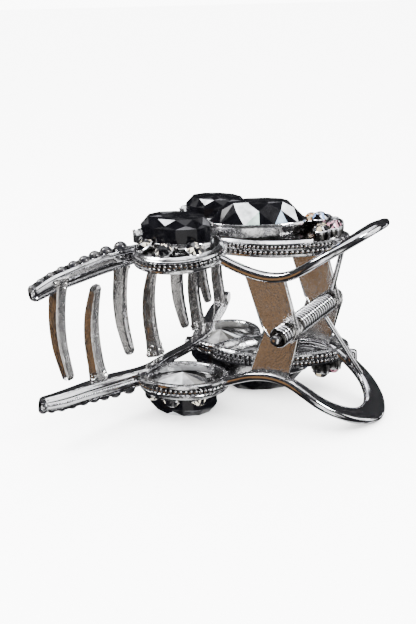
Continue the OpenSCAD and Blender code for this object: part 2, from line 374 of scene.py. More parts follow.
BAR_WIDE = [0.8, 1.1, 1.25, 1.35, 1.25, 0.85, 0.85, 1.25, 1.35, 1.25, 1.1, 0.8]
BAR_HIGH = [1.25, 1.65, 1.8, 1.9, 1.5, 0.9, 0.9, 1.5, 1.9, 1.8, 1.65, 1.25]
BAR_OUTLINE = [(-0.95, -0.75), (-0.75, -1.0), (0.75, -1.0), (0.95, -0.75), (1.0, -0.45), (0.88, -0.32),
               (1.0, -0.18), (1.0, 0.5), (0.86, 0.6), (1.04, 0.72), (1.0, 0.9), (0.8, 0.92),
               (0.66, 0.62), (-0.66, 0.62), (-0.8, 0.92), (-1.0, 0.9), (-1.04, 0.72), (-0.86, 0.6),
               (-1.0, 0.5), (-1.0, -0.18), (-0.88, -0.32), (-1.0, -0.45)]
# painted shade at each outline point: in the wall's grooves and on the stone channel's floor
BAR_DARK = [0, 0, 0, 0, 0, 1, 0, 0, 1, 0, 0, 0, 0.9, 0.9, 0, 0, 0, 1, 0, 0, 1, 0]
# bead rows, as height and depth in shares of the bar; the offset ones sit between the others
FAR_ROWS = ((-0.66, 0.95), (-0.28, 1.0), (0.1, 1.0), (0.42, 1.0))
OFFSET_ROWS = (-0.28, 0.42)
NEAR_ROWS = {"upper": ((-0.7, 0.95),), "lower": ((0.05, 1.0),)}

for side, sign in JAWS:
    bar_wax, grit = Wax(), random.Random(4)
    near_half = [(x, -y, z) for x, y, z in bar_half(side)]
    bar_line = flowing(near_half + BAR_STRUT + bar_half(side)[::-1], 8)
    wide_here, high_here = spread(BAR_WIDE, len(bar_line)), spread(BAR_HIGH, len(bar_line))
    # the tips are eased over
    for station, share in ((0, 0.5), (1, 0.9), (-2, 0.9), (-1, 0.5)):
        wide_here[station] *= share
        high_here[station] *= share
    bar_wax.swept(bar_line, (0, 0, 1), BAR_OUTLINE, wide_here, high_here, BAR_DARK)
    for start, stop, rows in ((1, 34, NEAR_ROWS[side]), (54, 87, FAR_ROWS)):
        for k in range(start, stop):
            along = bar_line[k + 1] - bar_line[k]
            inward = np.array((abs(along[1]), -along[0] * math.copysign(1, along[1]), 0))
            inward = inward / np.linalg.norm(along)
            for half in (0.0, 0.5):
                for row, depth in rows:
                    forward = half + (0.25 if row in OFFSET_ROWS else 0)
                    q = bar_line[k] + along * forward + inward * wide_here[k] * depth
                    r = grit.uniform(0.24, 0.32)
                    # each bead gets a touch of painted shade
                    bar_wax.bead(q + (0, 0, high_here[k] * row), r, sides=6, rows=4, recess=0.06)
    bar = bar_wax.pour(side + "_bar_casting", sign)
    bar.data.materials.append(plated)
    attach(bar, side + "_jaw")
    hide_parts(side + "_bars")

# ---------------------------------------------------------------- the teeth
# Four flat curved fingers on each jaw, cast in one with the bar. Each grows out of a
# granulated knuckle and ends in a blunt, filed tip; the file marks run along it.

# the first colour is the filed plate; the second is the painted shade in the teeth's and straps' recesses
DULL, PAINTED_SHADE = (0.80, 0.79, 0.78), (0.10, 0.085, 0.07)
toothed = plating("filed_plating", DULL, PAINTED_SHADE, 0.12, 1.2, 0.35, ripple_size=520.0)
UPPER_TEETH, LOWER_TEETH = (-30.8, -14.5, 4.0, 21.7), (-21.7, -4.05, 14.5, 30.8)
TOOTH_OUTLINE = [(-0.7, -1.0), (0.7, -1.0), (0.93, -0.86), (1.0, -0.6), (0.94, 0.0), (1.0, 0.6), (0.93, 0.86),
                 (0.7, 1.0), (-0.7, 1.0), (-0.93, 0.86), (-1.0, 0.6), (-0.94, 0.0), (-1.0, -0.6), (-0.93, -0.86)]
# painted shade at each outline point: a little over the flats, more at the corners
TOOTH_DARK = [0.15, 0.15, 0.5, 0.2, 0, 0.2, 0.5] * 2
TOOTH_THICK, TOOTH_WIDE = [1.4, 1.15, 1.1, 1.0, 0.7], [1.75, 1.35, 1.35, 1.25, 1.0]



def knuckle_x(y):
    """Where the bar runs at this tooth."""
    if abs(y) > 26:
        return -35.3
    if abs(y) > 18:
        return -34.4
    if abs(y) > 9:
        return -32.4
    return -32.5 if y < 0 else -30.4


for side, sign in JAWS:
    tooth_wax = Wax()
    knuckles = random.Random(7)
    for y in (UPPER_TEETH if side == "upper" else LOWER_TEETH):
        x = knuckle_x(y)
        bows = ((0, 11.6), (-0.6, 8.0), (-1.1, 3.0), (-0.8, -2.0), (0.6, -7.8))
        line = flowing([(x + bow, y, z) for bow, z in bows], 7)
        n = len(line)
        thick, wide = spread(TOOTH_THICK, n), spread(TOOTH_WIDE, n)
        thick[-1] *= 0.72
        wide[-1] *= 0.78
        twist = 0 if y < -20 else -0.2
        tooth_wax.swept(line, (twist, 1, 0), TOOTH_OUTLINE, thick, wide, TOOTH_DARK)
        for k in range(26):
            a = knuckles.uniform(0, 2 * math.pi)
            down = knuckles.uniform(0, 1)
            reach = 1.9 - 0.7 * down
            q = (x - 0.15 + 0.75 * reach * math.cos(a), y + reach * math.sin(a), 11.3 - 2.1 * down)
            # each knuckle bead gets a little painted shade
            tooth_wax.bead(q, knuckles.uniform(0.32, 0.52), sides=7, rows=5, recess=0.12)
    teeth = tooth_wax.pour(side + "_tooth_casting", sign, crease=24)
    teeth.data.materials.append(toothed)
    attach(teeth, side + "_jaw")
    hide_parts(side + "_teeth")

# ---------------------------------------------------------------- the finger rings
# The casting's open loop behind the cups, which the thumb and finger squeeze. It starts
# as a narrow rail beside the stones and widens to a smooth flat strap at its end.

RING_HALF = [(-14.6, -10.7, 12.6), (-12.4, -10.7, 11.7), (-10.0, -10.6, 10.8), (-7.4, -10.5, 10.0),
             (-4.6, -10.5, 9.6), (-2.0, -10.5, 9.7), (0.6, -10.5, 10.4), (3.3, -10.3, 11.9),
             (6.0, -9.7, 13.7), (8.5, -8.2, 15.3), (10.6, -5.8, 16.7), (11.9, -3.0, 17.6)]
RING_BACK = [(x, -y, z) for x, y, z in RING_HALF[:0:-1]]
RING_LINE = RING_HALF + [(12.4, 0, 17.9)] + RING_BACK + [(-17.6, 11.3, 12.6)]
RING_WIDE, RING_THICK = [1.0, 1.0, 1.05, 1.15, 1.5, 1.955, 2.3, 1.955, 1.5, 1.15, 1.05, 1.0, 1.0], 0.86


def blunt(value, power):
    return math.copysign(abs(value) ** power, value)


RING_OUTLINE = [(blunt(math.cos(a), 0.55), blunt(math.sin(a), 0.7))
                for a in (2 * math.pi * (k + 0.5) / 20 for k in range(20))]
ring_wax = Wax()
ring_line = flowing(RING_LINE, 6)
ring_wax.swept(ring_line, (-0.35, 0, 0.94), RING_OUTLINE,
               spread(RING_WIDE, len(ring_line)), np.full(len(ring_line), RING_THICK))
for side, sign in JAWS:
    ring = ring_wax.pour(side + "_ring_casting", sign, crease=50)
    ring.data.materials.append(plated)
    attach(ring, side + "_jaw")
    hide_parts(side + "_ring")

# ---------------------------------------------------------------- the hinge ears
# Two flat straps under each jaw's rail, drilled for the pin. Cast with a thin raised
# rim round a sunk field, which keeps them stiff.

EAR_CORNERS = [(-8.4, 9.8), (-0.5, 9.8), (2.15, 0.8), (0.0, -2.3), (-4.0, -1.6), (-5.3, 0.4)]
EAR_THICK, EAR_BORE, EAR_BOSS = 1.1, 0.9, 2.3
strap = plating("strap_plating", DULL, PAINTED_SHADE, 0.14, 0.45, 0.45, ripple_size=380.0)


def ear_edge(angle):
    """How far the strap's edge is from the pin's axis in this direction."""
    d = (math.cos(angle), math.sin(angle))
    best = EAR_BOSS
    for (ax, az), (bx, bz) in zip(EAR_CORNERS, EAR_CORNERS[1:] + EAR_CORNERS[:1]):
        ex, ez = bx - ax, bz - az
        det = d[0] * -ez + ex * d[1]
        if abs(det) < 1e-9:
            continue
        reach = (ax * -ez + ex * az) / det
        share = (d[0] * az - d[1] * ax) / det
        if reach > 0 and -1e-6 <= share <= 1 + 1e-6:
            best = max(best, reach)
    return best


corner_turns = {round(math.atan2(z, x) % (2 * math.pi), 5) for x, z in EAR_CORNERS}
ear_turns = sorted({round(a, 5) for a in around(96)} | corner_turns)


def ear_ring(y, inset):
    reaches = [max(ear_edge(a) - inset, EAR_BORE + 0.4) for a in ear_turns]
    return [(reach * math.cos(a), y, reach * math.sin(a)) for reach, a in zip(reaches, ear_turns)]


def ear_bore(y, r):
    return [(r * math.cos(a), y, r * math.sin(a)) for a in ear_turns]


for side, sign in JAWS:
    ear_wax = Wax()
    for y in (-11.4, 9.0):
        far = y + EAR_THICK
        ear_wax.ring_stack([
            ear_bore(y + 0.12, EAR_BORE), ear_bore(y, EAR_BORE + 0.15), ear_bore(y, EAR_BORE + 0.45),
            ear_ring(y + 0.14, 0.75), ear_ring(y + 0.14, 0.62), ear_ring(y, 0.5), ear_ring(y + 0.03, 0.34),
            ear_ring(y + 0.32, 0.0), ear_ring(far - 0.32, 0.0), ear_ring(far - 0.03, 0.34),
            ear_ring(far, 0.5), ear_ring(far - 0.14, 0.62), ear_ring(far - 0.14, 0.75),
            ear_bore(far, EAR_BORE + 0.45), ear_bore(far, EAR_BORE + 0.15), ear_bore(far - 0.12, EAR_BORE),
        ], loop=True)
    ear = ear_wax.pour(side + "_ear_casting", sign, crease=28, flip_y=sign)
    ear.data.materials.append(strap)
    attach(ear, side + "_jaw")
    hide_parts(side + "_ears")

# ---------------------------------------------------------------- the round cups
# A deep round cup at each end of the jaw, open at the back, with a milled bead line in
# a groove round its wall and a bright bezel that holds the oval stone. The groove, the
# cup's inside and the bezel's foot are darkened with painted shade.

# each cup: centre, radius, lean, then its stone's offset, turn and girdle height
NEAR_CUP = ((-21.8, -11.2), 8.7, 5.0, (-1.2, 1.2), 4.0, 15.7)
FAR_CUP = ((-25.4, 13.9), 7.4, -5.0, (-1.2, -0.6), -4.0, 14.7)
OVAL_HALF = (7.0, 5.0)
LIP = 11.4
CUP_SIDES = 72
# a section through the wall: how far outside the radius, how high, how much painted shade it gets in a recess
CUP_WALL = [(-2.2, 1.9, 0.85), (-1.5, 1.7, 0.6), (-1.3, 0.15, 0.1), (-1.1, -0.02, 0), (-0.25, 0.0, 0),
            (-0.04, 0.15, 0), (0, 0.5, 0), (-0.1, 0.8, 0.3), (-0.3, 0.92, 1), (-0.3, 1.72, 1), (-0.12, 1.85, 0.3),
            (0, 2.05, 0), (-0.1, 2.35, 0), (-0.3, 2.5, 0.8), (-0.45, 2.75, 0), (-0.9, 3.0, 0), (-1.3, 2.85, 0.9),
            (-2.2, 2.95, 0.9)]
CUP_FLOOR = [(-1.9, 1.9), (-3.0, 1.75), (-3.2, 2.1), (-3.2, 2.9), (-1.9, 3.1)]
# the hammered plate's colour, then the painted shade in its recesses
HAMMERED = (0.78, 0.78, 0.79), (0.022, 0.021, 0.02)
hammered = plating("hammered_plating", *HAMMERED, 0.11, 0.7, 0.2, ripple_size=600.0)


def disc(r, z, n):
    return [(r * math.cos(a), r * math.sin(a), z) for a in around(n)]


def oval_ring(centre, a, b, z, turn, n=48):
    ct, st = math.cos(math.radians(turn)), math.sin(math.radians(turn))
    oval = [(a * math.cos(q), b * math.sin(q)) for q in around(n)]
    return [(centre[0] + x * ct - y * st, centre[1] + x * st + y * ct, z) for x, y in oval]


def bezel(wax, centre, a, b, girdle, turn, foot, n=48):
    """A thin standing wall round a stone, rolled over its girdle."""
    wall = [(0.45, foot), (0.45, girdle - 0.3), (0.4, girdle + 0.15), (0.2, girdle + 0.42),
            (-0.12, girdle + 0.4), (-0.15, girdle - 0.1)]
    rings = [oval_ring(centre, a + grow, b + grow, z, turn, n) for grow, z in wall]
    rings.insert(0, oval_ring(centre, a * 0.9, b * 0.9, foot, turn, n))
    # painted shade at the foot and on the inner side, under the stone
    wax.ring_stack(rings, recess=[0.9, 0.9, 0.1, 0, 0, 0.1, 0.9])


for side, sign in JAWS:
    for cup_name, cup_sizes in (("near_tray", NEAR_CUP), ("far_tray", FAR_CUP)):
        centre, r, lean, stone_at, stone_turn, girdle = cup_sizes
        cup = Wax()
        cup.ring_stack([disc(r + d, z, CUP_SIDES) for d, z, _ in CUP_WALL], loop=True)
        for j, (_, _, dark) in enumerate(CUP_WALL):
            for k in range(CUP_SIDES):
                cup.recess[j * CUP_SIDES + k] = dark
        # the floor, hollowed for the stone's back, half darkened with painted shade
        cup.ring_stack([disc(r + d, z, 48) for d, z in CUP_FLOOR], loop=True, recess=[0.5] * 48)
        count = int(2 * math.pi * r / 0.98)
        for a in around(count):
            q = ((r - 0.12) * math.cos(a), (r - 0.12) * math.sin(a), 1.32)
            cup.bead(q, 0.40, flat=1.2, sides=6, rows=5)
        tilt = Matrix.Rotation(math.radians(lean), 4, "X")
        cup.shift(0, Matrix.Translation((*centre, LIP)) @ tilt)
        at = (centre[0] + stone_at[0], centre[1] + stone_at[1])
        bezel(cup, at, *OVAL_HALF, girdle - 1.0, stone_turn, LIP + 2.2)
        piece = cup.pour(side + "_" + cup_name + "_casting", sign)
        piece.data.materials.append(hammered)
        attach(piece, side + "_jaw")
        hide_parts(side + "_" + cup_name)

# ---------------------------------------------------------------- the middle cup
# A leaf-shaped cup that stands across the rails, with two milled bead lines round its
# wall. It carries the large stone and the cluster at its full end.

MID_AT, MID_TURN, MID_L, MID_W, MID_LIP = (-9.9, 8.0), 29.0, 13.8, 7.2, 9.9
BIG_HALF, BIG_GIRDLE, BIG_AT = (9.6, 5.1), 15.3, (-4.2, 1.7)
LEAF_SIDES = 72
# a section through the wall, as for the round cups, with the same painted shade in its grooves
LEAF_WALL = [(-4.2, 2.2, 0.9), (-2.6, 2.0, 0.8), (-1.5, 1.0, 0.4), (-1.25, 0.05, 0), (-0.3, -0.05, 0),
             (0.0, 0.25, 0), (0.0, 0.55, 0), (-0.25, 0.68, 1), (-0.25, 1.3, 1), (0.02, 1.42, 0),
             (-0.02, 1.68, 0), (-0.28, 1.8, 1), (-0.28, 2.3, 1), (-0.05, 2.42, 0), (-0.15, 2.75, 0),
             (-0.9, 3.15, 0), (-1.3, 3.0, 0.9), (-4.2, 3.15, 0.9)]


def on_leaf(u, v):
    """A place on the cup, from u along its length and v across."""
    ct, st = math.cos(math.radians(MID_TURN)), math.sin(math.radians(MID_TURN))
    return (MID_AT[0] + u * ct - v * st, MID_AT[1] + u * st + v * ct)


def leaf_ring(a, b, z, n=LEAF_SIDES):
    out = []
    for q in around(n):
        pinch = 1 - 0.42 * max(-math.cos(q), 0) ** 2
        out.append((*on_leaf(a * math.cos(q), b * math.sin(q) * pinch), z))
    return out


for side, sign in JAWS:
    leaf = Wax()
    leaf.ring_stack([leaf_ring(MID_L + d, MID_W + d, MID_LIP + z) for d, z, _ in LEAF_WALL], loop=True)
    for j, (_, _, dark) in enumerate(LEAF_WALL):
        for k in range(LEAF_SIDES):
            leaf.recess[j * LEAF_SIDES + k] = dark
    # the floor, darkened with painted shade
    leaf.ring_stack([leaf_ring(MID_L - 4.0, MID_W - 4.0, MID_LIP + z) for z in (2.0, 3.1)], recess=[0.6, 0.9])
    for z, r in ((0.98, 0.40), (2.05, 0.33)):
        ring = np.array(leaf_ring(MID_L - 0.08, MID_W - 0.08, MID_LIP + z, 720))
        steps = np.linalg.norm(np.diff(np.vstack([ring, ring[:1]]), axis=0), axis=1)
        walk = np.concatenate([[0], np.cumsum(steps)])
        count = int(walk[-1] / (r * 2.5))
        for k in range(count):
            i = int(np.searchsorted(walk, walk[-1] * k / count)) % len(ring)
            leaf.bead(ring[i], r, flat=1.15, sides=6, rows=5)
    bezel(leaf, on_leaf(*BIG_AT), *BIG_HALF, BIG_GIRDLE, MID_TURN, MID_LIP + 2.8, 56)
    piece = leaf.pour(side + "_middle_cup_casting", sign)
    piece.data.materials.append(hammered)
    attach(piece, side + "_jaw")
    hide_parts(side + "_middle_tray")

# ---------------------------------------------------------------- the oval stones
# Smoky black foil-backed glass, cut with a table, star and kite facets over a pointed
# back. A few facets, on the front and on the foil back, are painted pale as reflections; the rest read nearly
# black.

# facet_play: each facet's painted colour, reflections included, brightened or dimmed by a fine noise
facet_play = bpy.data.node_groups.new("facet_play", "ShaderNodeTree")
facet_play.interface.new_socket("Spread", in_out="INPUT", socket_type="NodeSocketFloat").default_value = 1.0
facet_play.interface.new_socket("Colour", in_out="OUTPUT", socket_type="NodeSocketColor")
fp_in, fp_out = facet_play.nodes.new("NodeGroupInput"), facet_play.nodes.new("NodeGroupOutput")
fp_tint = facet_play.nodes.new("ShaderNodeAttribute")
fp_tint.attribute_name = "facet"
fp_at, fp_noise = facet_play.nodes.new("ShaderNodeTexCoord"), facet_play.nodes.new("ShaderNodeTexNoise")
fp_range, fp_mix = facet_play.nodes.new("ShaderNodeMapRange"), facet_play.nodes.new("ShaderNodeVectorMath")
fp_noise.inputs["Scale"].default_value = 700.0
fp_range.inputs["From Min"].default_value, fp_range.inputs["From Max"].default_value = 0.3, 0.7
fp_range.inputs["To Min"].default_value = 0.55
fp_mix.operation = "SCALE"
facet_play.links.new(fp_at.outputs["Object"], fp_noise.inputs["Vector"])
facet_play.links.new(fp_noise.outputs["Fac"], fp_range.inputs["Value"])
facet_play.links.new(fp_in.outputs["Spread"], fp_range.inputs["To Max"])
facet_play.links.new(fp_tint.outputs["Color"], fp_mix.inputs[0])
facet_play.links.new(fp_range.outputs["Result"], fp_mix.inputs["Scale"])
facet_play.links.new(fp_mix.outputs["Vector"], fp_out.inputs["Colour"])


def cut_glass(name, rough, spread_to, shine):
    """Foil-backed glass: each facet's colour, painted reflections included, under a hard clear polish."""
    m = bpy.data.materials.new(name)
    m.use_nodes = True
    t = m.node_tree
    p = t.nodes["Principled BSDF"]
    p.inputs["Roughness"].default_value = rough
    p.inputs["IOR"].default_value = 1.55
    p.inputs["Specular IOR Level"].default_value = shine
    p.inputs["Coat Weight"].default_value = shine * 0.3
    p.inputs["Coat Roughness"].default_value = 0.02
    g = t.nodes.new("ShaderNodeGroup")
    g.node_tree = facet_play
    g.inputs["Spread"].default_value = spread_to
    t.links.new(g.outputs["Colour"], p.inputs["Base Color"])
    return m


black_glass = cut_glass("smoky_black_glass", 0.06, 1.25, 0.12)
# facet colours: the two darkest are the glass's own near-black; the grey one is a faint painted reflection, and
# the white, blue and green ones are bright painted reflections
INK, COAL, ASH = (0.0012, 0.0012, 0.0016), (0.0045, 0.0045, 0.005), (0.026, 0.026, 0.028)
WHITE_GLINT, ICE, MINT = (0.31, 0.32, 0.33), (0.15, 0.20, 0.25), (0.17, 0.22, 0.20)


def faceted(wax, centre, a, b, girdle, crown, depth, turn, n, top, tones, back, rng,
            belly=0.72, glints={}, drum=0.0):
    """A brilliant cut with n sides: table, stars, kites, girdle and a pointed back.

    top and belly are the table's and the back's shares of the width; drum is a straight
    side's height; glints sets the colour of named facets, most of them painted reflections.
    """
    ct, st = math.cos(math.radians(turn)), math.sin(math.radians(turn))

    def at(share, angle, z):
        x, y = a * share * math.cos(angle), b * share * math.sin(angle)
        return (centre[0] + x * ct - y * st, centre[1] + x * st + y * ct, z)

    def facet(points, colour, place=None):
        colour = glints.get(place, colour)
        s = len(wax.points)
        wax.points += points
        wax.recess += [0.0] * len(points)
        wax.faces.append(tuple(range(s, s + len(points))))
        wax.colours.append(colour)

    step = 2 * math.pi / n
    table = [at(top, k * step, girdle + crown) for k in range(n)]
    shoulder_share, shoulder_z = 0.5 + top * 0.44 + 0.035 * drum, girdle + 0.2 + crown * 0.62 + 0.1 * drum
    shoulder = [at(shoulder_share, (k + 0.5) * step, shoulder_z) for k in range(n)]
    rim = [at(1.0, k * step / 2, girdle + 0.2 + drum) for k in range(2 * n)]
    low = [at(1.0, k * step / 2, girdle - 0.25 - 0.5 * drum) for k in range(2 * n)]
    waist = [at(belly, k * step, girdle - depth * 0.52) for k in range(n)]
    culet = at(0.02, 0, girdle - depth)
    heart = at(top * 0.12, 2.2, girdle + crown)
    ring = [at(top * 0.55, (k + 0.5) * step, girdle + crown) for k in range(n)]
    for k in range(n):
        j = (k + 1) % n
        facet([table[k], table[j], ring[k]], rng.choice(tones), ("table", k))
        facet([ring[k - 1], table[k], ring[k]], rng.choice(tones))
        facet([heart, ring[k - 1], ring[k]], rng.choice(tones))
        facet([table[k], shoulder[k], table[j]], rng.choice(tones), ("star", k))
        facet([table[k], shoulder[k - 1], rim[2 * k], shoulder[k]], rng.choice(tones), ("kite", k))
        facet([shoulder[k], rim[2 * k], rim[2 * k + 1]], rng.choice(tones), ("rim", k))
        facet([shoulder[k], rim[2 * k + 1], rim[(2 * k + 2) % (2 * n)]], rng.choice(tones))
        for i in (2 * k, 2 * k + 1):
            facet([rim[i], low[i], low[(i + 1) % (2 * n)], rim[(i + 1) % (2 * n)]], tones[0])
        facet([low[2 * k], low[(2 * k + 1)], waist[k]], rng.choice(back))
        facet([low[2 * k + 1], low[(2 * k + 2) % (2 * n)], waist[j]], rng.choice(back))
        facet([low[2 * k + 1], waist[j], waist[k]], rng.choice(back))
        facet([waist[k], waist[j], culet], rng.choice(back))


# the ovals' named facets get painted reflections
OVAL_TONES, OVAL_GLINTS = [INK] * 10 + [COAL] * 4 + [ASH], {("star", 7): WHITE_GLINT, ("table", 3): ASH}
# the pointed backs are foil, painted with pale reflections among dark facets
FOIL_GLINTS = [WHITE_GLINT, ASH, (0.10, 0.098, 0.095), (0.18, 0.18, 0.185), (0.03, 0.029, 0.027)]
for side, sign in JAWS:
    ovals, play = Wax(), random.Random(11)
    for centre, _, _, stone_at, stone_turn, girdle in (NEAR_CUP, FAR_CUP):
        at = (centre[0] + stone_at[0], centre[1] + stone_at[1])
        faceted(ovals, at, *OVAL_HALF, girdle, 3.7, 3.9, stone_turn, 10, 0.8, OVAL_TONES, FOIL_GLINTS, play,
                belly=0.8, glints=OVAL_GLINTS, drum=1.9)
    piece = ovals.pour(side + "_oval_glass", sign, flat=True)
    piece.data.materials.append(black_glass)
    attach(piece, side + "_jaw")
    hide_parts(side + "_oval_stones")

# ---------------------------------------------------------------- the large middle stone
# The same smoky glass, longer and cut with more kites. It is set in the leaf cup's
# bezel and carries the most painted reflections: wide white facets, a few blue and green ones. Only the upper
# jaw's stone gets them.

BIG_TONES = [INK] * 8 + [COAL] * 5 + [ASH]
BIG_GLINTS = {("kite", 7): WHITE_GLINT, ("star", 6): WHITE_GLINT, ("table", 6): WHITE_GLINT, ("kite", 9): WHITE_GLINT,
              ("star", 8): INK, ("rim", 7): MINT, ("rim", 8): ICE, ("table", 2): ASH, ("kite", 8): COAL}
for side, sign in JAWS:
    big, play = Wax(), random.Random(5)
    faceted(big, on_leaf(*BIG_AT), *BIG_HALF, BIG_GIRDLE, 4.1, 3.9, MID_TURN, 10, 0.62, BIG_TONES, FOIL_GLINTS, play,
            glints=BIG_GLINTS if side == "upper" else {})
    piece = big.pour(side + "_middle_glass", sign, flat=True)
    piece.data.materials.append(black_glass)
    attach(piece, side + "_jaw")
    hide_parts(side + "_middle_stone")

# ---------------------------------------------------------------- the small round stones
# Round chatons in their own little bezels: a cluster at the middle cup's full end, and
# a fan round each oval. Some of their facets are painted pale, pink, cream, orange or blue as reflections.

# glass for the chatons and square stones, whose pale and coloured facets are painted reflections
pale_glass = cut_glass("chaton_glass_painted_glints", 0.05, 1.15, 0.5)
silver_bezel = plating("chaton_bezel", (0.84, 0.84, 0.85), (0.08, 0.078, 0.075), 0.1, 0.5, 0.05)
# painted reflection colours for the chatons' facets
PALE_GLINT, CREAM = (0.36, 0.33, 0.27), (0.24, 0.20, 0.13)
PINK, ORANGE, BLUE = (0.27, 0.12, 0.16), (0.26, 0.10, 0.03), (0.10, 0.16, 0.30)
CHATON_WALL = ((0.12, -1.5), (0.22, -0.4), (0.18, 0.22), (0.02, 0.32), (-0.1, 0.1))


def chaton(glass, metal, at, girdle, d, tones, rng, out=(0, -1), lean=0.0):
    """A small round stone in its bezel, leaning towards out."""
    glass_from, metal_from = len(glass.points), len(metal.points)
    faceted(glass, at, d / 2, d / 2, girdle, d * 0.36, d * 0.45, 0, 8, 0.5, tones, FOIL_GLINTS, rng)
    # the bezel: painted shade at its foot and round its inside, under the stone
    metal.ring_stack([oval_ring(at, d / 2 + grow, d / 2 + grow, girdle + up, 0, 20) for grow, up in CHATON_WALL],
                     recess=[1, 1, 0.2, 0, 0.9])
    middle, hinge = Vector((*at, girdle)), Vector((-out[1], out[0], 0))
    tip = Matrix.Translation(middle) @ Matrix.Rotation(math.radians(lean), 4, hinge) @ Matrix.Translation(-middle)
    glass.shift(glass_from, tip)
    metal.shift(metal_from, tip)


# each: along, across, its girdle's height, its facets' colours (the pale and coloured ones painted reflections)
CLUSTER = [(8.6, -5.1, 14.6, [COAL, INK, INK, CREAM]), (11.2, -2.5, 14.6, [PINK, PINK, COAL, INK]),
           (11.9, 1.0, 14.6, [INK, COAL, INK, WHITE_GLINT]), (10.6, 4.1, 14.6, [COAL, INK, INK, ASH]),
           (7.8, 6.2, 14.6, [ORANGE, CREAM, COAL, INK]), (8.9, 0.6, 15.8, [BLUE, WHITE_GLINT, INK, COAL])]
for side, sign in JAWS:
    glass, metal, play = Wax(), Wax(), random.Random(3)
    for u, v, girdle, tones in CLUSTER:
        chaton(glass, metal, on_leaf(u - 0.9, v * 0.88), girdle, 3.1, tones, play, lean=14)
    piece = glass.pour(side + "_cluster_glass", sign, flat=True)
    piece.data.materials.append(pale_glass)
    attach(piece, side + "_jaw")
    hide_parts(side + "_cluster_stones")
    rim = metal.pour(side + "_cluster_bezels", sign)
    rim.data.materials.append(silver_bezel)
    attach(rim, side + "_jaw")

# the fans: cup, which way they face, how far inside the rim, size, angles
FANS = ((NEAR_CUP, -1, 2.1, 3.2, (-42, 6, 54)), (FAR_CUP, 1, 1.9, 2.9, (-48, 0, 48)))
FAN_TONES = [INK, COAL, INK, COAL, INK, PALE_GLINT]
for side, sign in JAWS:
    glass, metal, play = Wax(), Wax(), random.Random(9)
    for (centre, r, *_), way, reach, d, turns in FANS:
        for a in map(math.radians, turns):
            at = (centre[0] + (r - reach) * math.sin(a), centre[1] + way * (r - reach) * math.cos(a))
            outward = (math.sin(a), way * math.cos(a))
            chaton(glass, metal, at, LIP + 3.2, d, FAN_TONES, play, out=outward, lean=32)
    piece = glass.pour(side + "_fan_glass", sign, flat=True)
    piece.data.materials.append(pale_glass)
    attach(piece, side + "_jaw")
    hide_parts(side + "_tray_stones")
    rim = metal.pour(side + "_fan_bezels", sign)
    rim.data.materials.append(silver_bezel)
    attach(rim, side + "_jaw")

# ---------------------------------------------------------------- the bar stones
# Nine smooth black domes in each bar's channel, growing towards the cup, with a pair
# of tiny raised prongs pushed over between each two.

dome_glass = bpy.data.materials.new("black_dome_glass")
dome_glass.use_nodes = True
dg = dome_glass.node_tree
dg_p = dg.nodes["Principled BSDF"]
dg_p.inputs["Roughness"].default_value = 0.05
dg_p.inputs["IOR"].default_value = 1.6
dg_p.inputs["Coat Weight"].default_value = 0.2
dg_at, dg_noise = dg.nodes.new("ShaderNodeTexCoord"), dg.nodes.new("ShaderNodeTexNoise")
dg_ramp = dg.nodes.new("ShaderNodeValToRGB")
dg_noise.inputs["Scale"].default_value = 1100.0
dg_ramp.color_ramp.elements[0].color = (0.004, 0.004, 0.005, 1)
dg_ramp.color_ramp.elements[0].position = 0.45
dg_ramp.color_ramp.elements[1].color = (0.03, 0.029, 0.028, 1)
dg_ramp.color_ramp.elements[1].position = 0.8
dg.links.new(dg_at.outputs["Object"], dg_noise.inputs["Vector"])
dg.links.new(dg_noise.outputs["Fac"], dg_ramp.inputs["Fac"])
dg.links.new(dg_ramp.outputs["Color"], dg_p.inputs["Base Color"])


def bar_at(side, way, t):
    """A place t spans along a bar from its tip."""
    half = [(x, way * y, z) for x, y, z in bar_half(side)]
    line = flowing(half, 50)
    return line[min(int(round(t * 50)), len(line) - 1)]


for side, sign in JAWS:
    domes, prongs = Wax(), Wax()
    for way in (-1, 1):
        for k in range(9):
            q, r = bar_at(side, way, 0.2 + k * 0.4), 0.85 + 0.06 * k
            domes.bead(q + (0, 0, 0.95 + 0.1 * k), r, flat=0.95, sides=18, rows=12)
            if k < 8:
                e = bar_at(side, way, 0.4 + k * 0.4)
                for across in (-0.72, 0.72):
                    foot = (across * (0.95 + 0.03 * k), 0, 1.0 + 0.1 * k)
                    prongs.bead(e + foot, 0.24, flat=1.2, sides=8, rows=6)
    piece = domes.pour(side + "_bar_domes", sign, crease=80)
    piece.data.materials.append(dome_glass)
    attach(piece, side + "_jaw")
    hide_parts(side + "_bar_stones")
    prong = prongs.pour(side + "_bar_prongs", sign, crease=80)
    prong.data.materials.append(silver_bezel)
    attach(prong, side + "_jaw")

# ---------------------------------------------------------------- the corner stones
# A square-cut clear stone in a box setting where each bar meets its cup. A round
# prong holds it down at each corner.

CORNERS = ((-30.6, -9.6, -20), (-33.2, 12.4, 20))
BOX_WALL = ((1.2, -1.4), (1.4, -1.2), (1.4, 0.75), (1.3, 0.95), (1.05, 0.95), (1.0, 0.5))
